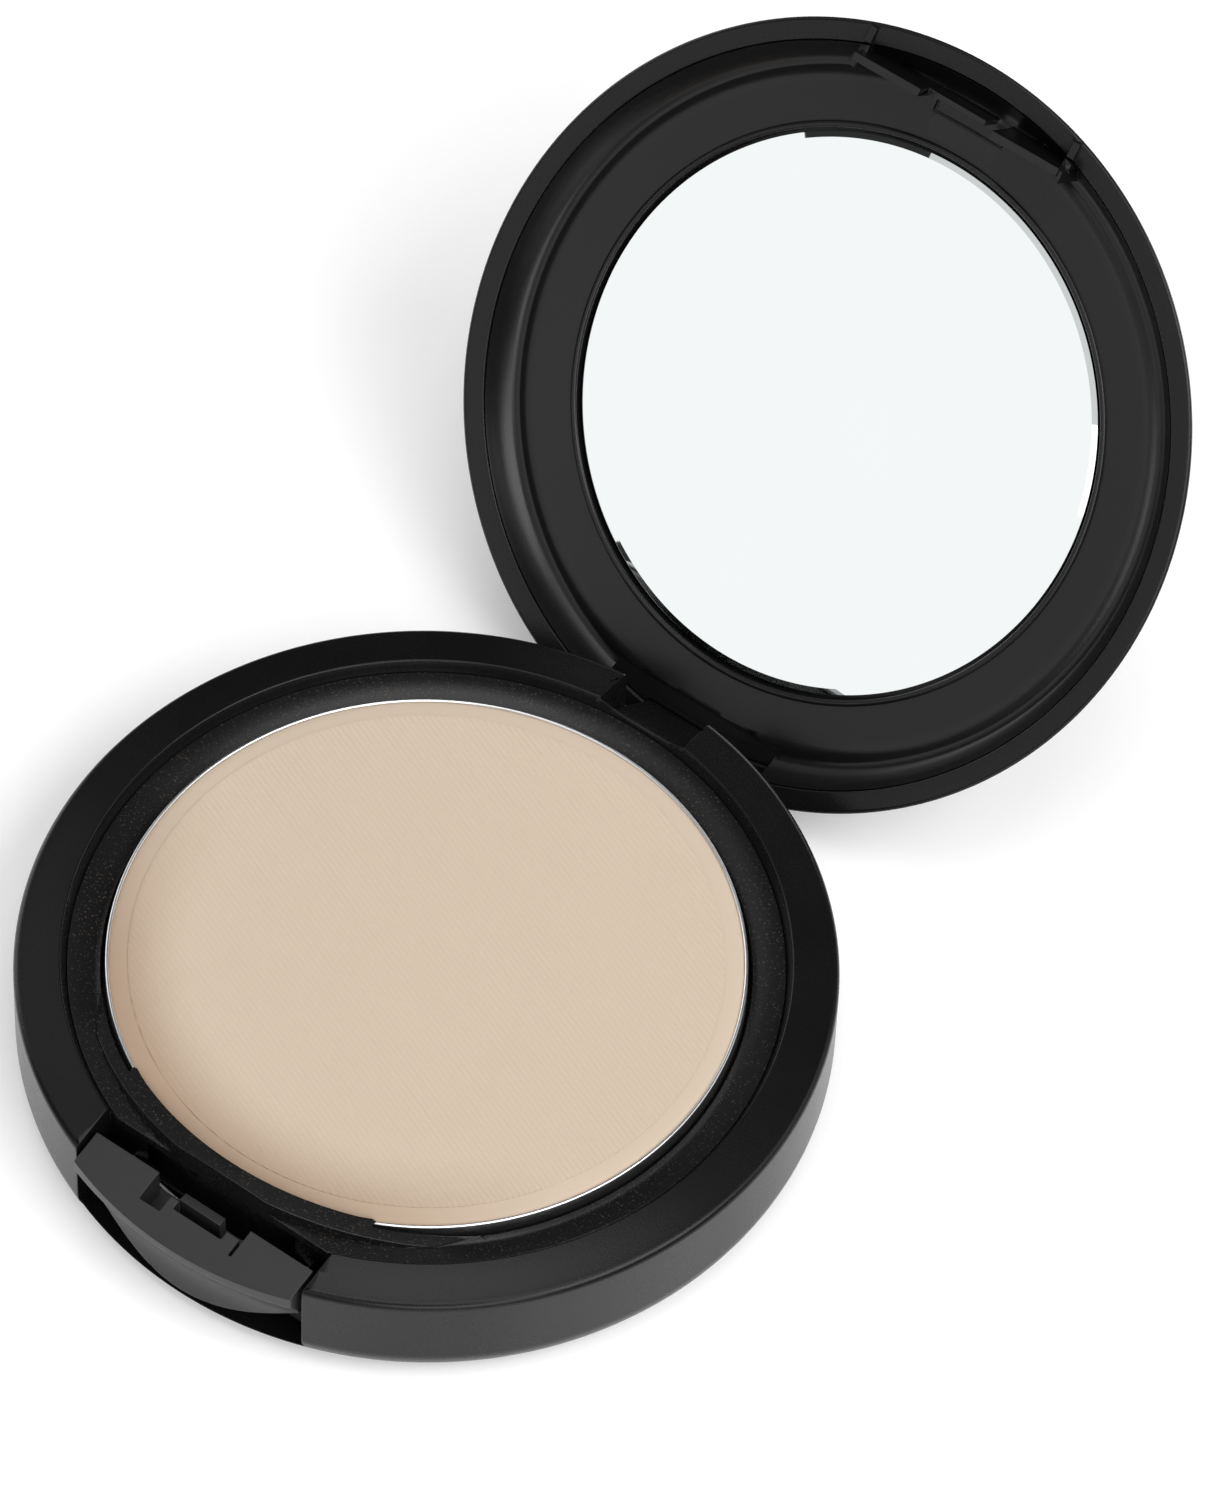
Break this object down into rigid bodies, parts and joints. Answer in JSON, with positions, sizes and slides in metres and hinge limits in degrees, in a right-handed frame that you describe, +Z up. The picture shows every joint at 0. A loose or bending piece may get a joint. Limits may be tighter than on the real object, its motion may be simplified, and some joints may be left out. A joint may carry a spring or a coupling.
{
  "type": "powder compact",
  "caption": "Round pocket compact with a pressed powder pan in the base, a hinged lid holding a round mirror, and a sprung push-button latch at the front.",
  "frame": {"origin": "centre of the flat underside that the base stands on", "axes": "+Z up; +Y from the latch towards the hinge, so the latch button faces -Y; +X to the right seen from the latch, along the hinge pin; the lid stands open on its stop"},
  "size_m": [0.0758, 0.125, 0.0595],
  "materials": {
    "black_shell": "satin",
    "black_inner": "matte",
    "black_tray": "satin",
    "black_button": "matte",
    "label_paper": "matte",
    "adhesive": "matte",
    "pan_metal": "satin",
    "powder": "matte",
    "steel": "satin",
    "mirror_glass": "polished"
  },
  "bodies": {
    "base": {"base_rim": "black_shell", "base_plate": "black_inner", "base_label": "label_paper", "pan_tray": "black_tray", "pan_adhesive": "adhesive", "powder_pan": "pan_metal", "powder_cake": "powder", "hinge_pin": "steel", "latch_spring": "steel"},
    "lid": {"lid_shell": "black_shell", "mirror_frame": "black_tray", "mirror": "mirror_glass", "mirror_adhesive": "adhesive"},
    "button": {"latch_button": "black_button"}
  },
  "joints": [
    {"name": "lid_hinge", "type": "hinge", "parent": "base", "child": "lid", "pos_m": [0, 0.0346, 0.00765], "axis": [1, 0, 0], "range_deg": [0, 130.2]},
    {"name": "latch_press", "type": "slide", "parent": "base", "child": "button", "axis": [0, 1, 0], "range_m": [0, 0.0006], "stiffness_N_per_m": 1500, "springref_m": -0.0004, "deforming": ["latch_spring"]}
  ]
}
